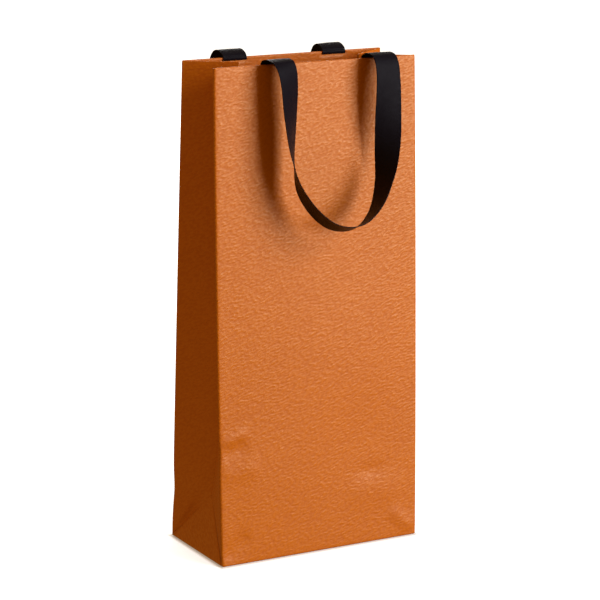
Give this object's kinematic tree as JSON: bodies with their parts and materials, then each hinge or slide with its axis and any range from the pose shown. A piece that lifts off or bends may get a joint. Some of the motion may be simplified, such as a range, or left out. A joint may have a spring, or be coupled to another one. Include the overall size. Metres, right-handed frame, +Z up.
{
  "type": "gift bag",
  "caption": "Tall paper gift bag for wine, with folded side gussets, a turned-in hem stiffened with card, a loose bottom board and swinging satin ribbon handles.",
  "frame": {"origin": "middle of the bottom, on the surface the bag stands on", "axes": "+Z up, -Y towards the front panel, +X to the right of someone facing the front"},
  "size_m": [0.172, 0.1276, 0.3834],
  "materials": {
    "paper": "leather-grain embossed, satin",
    "paper_inside": "matte",
    "board": "matte",
    "ribbon": "satin ribbon"
  },
  "bodies": {
    "base": {"bottom_flap_outer": "paper", "bottom_flap_inner": "paper", "bottom_flap_left": "paper_inside", "bottom_flap_right": "paper_inside", "base_board": "board"},
    "gusset_foot_left": {"gusset_foot_left": "paper"},
    "gusset_foot_right": {"gusset_foot_right": "paper"},
    "front_panel": {"front_panel": "paper", "front_hem": "paper", "front_card": "board", "front_ribbon_tails": "ribbon"},
    "back_panel": {"back_panel": "paper", "back_hem": "paper", "back_card": "board", "back_ribbon_tails": "ribbon", "seam_flap": "paper_inside"},
    "gusset_front_left": {"gusset_front_left": "paper", "gusset_hem_front_left": "paper"},
    "gusset_front_right": {"gusset_front_right": "paper", "gusset_hem_front_right": "paper"},
    "gusset_back_left": {"gusset_back_left": "paper", "gusset_hem_back_left": "paper"},
    "gusset_back_right": {"gusset_back_right": "paper", "gusset_hem_back_right": "paper"},
    "front_handle_ends": {"front_handle_ends": "ribbon"},
    "front_handle_loop": {"front_handle_loop": "ribbon"},
    "back_handle_ends": {"back_handle_ends": "ribbon"},
    "back_handle_loop": {"back_handle_loop": "ribbon"}
  },
  "joints": [
    {"name": "mouth_front", "type": "hinge", "parent": "base", "child": "front_panel", "pos_m": [0, -0.044, 0], "axis": [-1, 0, 0], "range_deg": [-1.2, 2.9], "stiffness_Nm_per_rad": 1},
    {"name": "mouth_back", "type": "hinge", "parent": "base", "child": "back_panel", "pos_m": [0, 0.044, 0], "axis": [1, 0, 0], "range_deg": [-1.2, 2.9]},
    {"name": "foot_left", "type": "hinge", "parent": "base", "child": "gusset_foot_left", "pos_m": [-0.086, 0, 0.00105], "axis": [0, 1, 0], "range_deg": [-3, 7.25]},
    {"name": "foot_right", "type": "hinge", "parent": "base", "child": "gusset_foot_right", "pos_m": [0.086, 0, 0.00105], "axis": [0, -1, 0], "range_deg": [-3, 7.25]},
    {"name": "fold_front_left", "type": "hinge", "parent": "front_panel", "child": "gusset_front_left", "pos_m": [-0.086, -0.0434, 0], "axis": [0, -0.0316, -0.9995], "range_deg": [-12, 29]},
    {"name": "fold_front_right", "type": "hinge", "parent": "front_panel", "child": "gusset_front_right", "pos_m": [0.086, -0.0434, 0], "axis": [0, 0.0316, 0.9995], "range_deg": [-12, 29]},
    {"name": "fold_back_left", "type": "hinge", "parent": "back_panel", "child": "gusset_back_left", "pos_m": [-0.086, 0.0434, 0], "axis": [0, -0.0579, 0.9983], "range_deg": [-12, 29]},
    {"name": "fold_back_right", "type": "hinge", "parent": "back_panel", "child": "gusset_back_right", "pos_m": [0.086, 0.0434, 0], "axis": [0, 0.0579, -0.9983], "range_deg": [-12, 29]},
    {"name": "front_handle_swing", "type": "hinge", "parent": "front_panel", "child": "front_handle_ends", "pos_m": [0.0065, -0.0302, 0.37981], "axis": [-1, 0, 0], "range_deg": [0, 82]},
    {"name": "front_handle_bend", "type": "hinge", "parent": "front_handle_ends", "child": "front_handle_loop", "pos_m": [0.0065, -0.0492, 0.37981], "axis": [-1, 0, 0], "range_deg": [0, 82]},
    {"name": "back_handle_swing", "type": "hinge", "parent": "back_panel", "child": "back_handle_ends", "pos_m": [0.001, 0.0202, 0.37936], "axis": [1, 0, 0], "range_deg": [0, 82]},
    {"name": "back_handle_bend", "type": "hinge", "parent": "back_handle_ends", "child": "back_handle_loop", "pos_m": [0.001, 0.0392, 0.37936], "axis": [1, 0, 0], "range_deg": [0, 82]}
  ],
  "couplings": [
    {"joint": "mouth_back", "follows": "mouth_front", "ratio": 1},
    {"joint": "fold_front_left", "follows": "mouth_front", "ratio": 10},
    {"joint": "fold_front_right", "follows": "mouth_front", "ratio": 10},
    {"joint": "fold_back_left", "follows": "mouth_front", "ratio": 10},
    {"joint": "fold_back_right", "follows": "mouth_front", "ratio": 10},
    {"joint": "foot_left", "follows": "mouth_front", "ratio": 2.5},
    {"joint": "foot_right", "follows": "mouth_front", "ratio": 2.5},
    {"joint": "front_handle_bend", "follows": "front_handle_swing", "ratio": 1},
    {"joint": "back_handle_bend", "follows": "back_handle_swing", "ratio": 1}
  ]
}
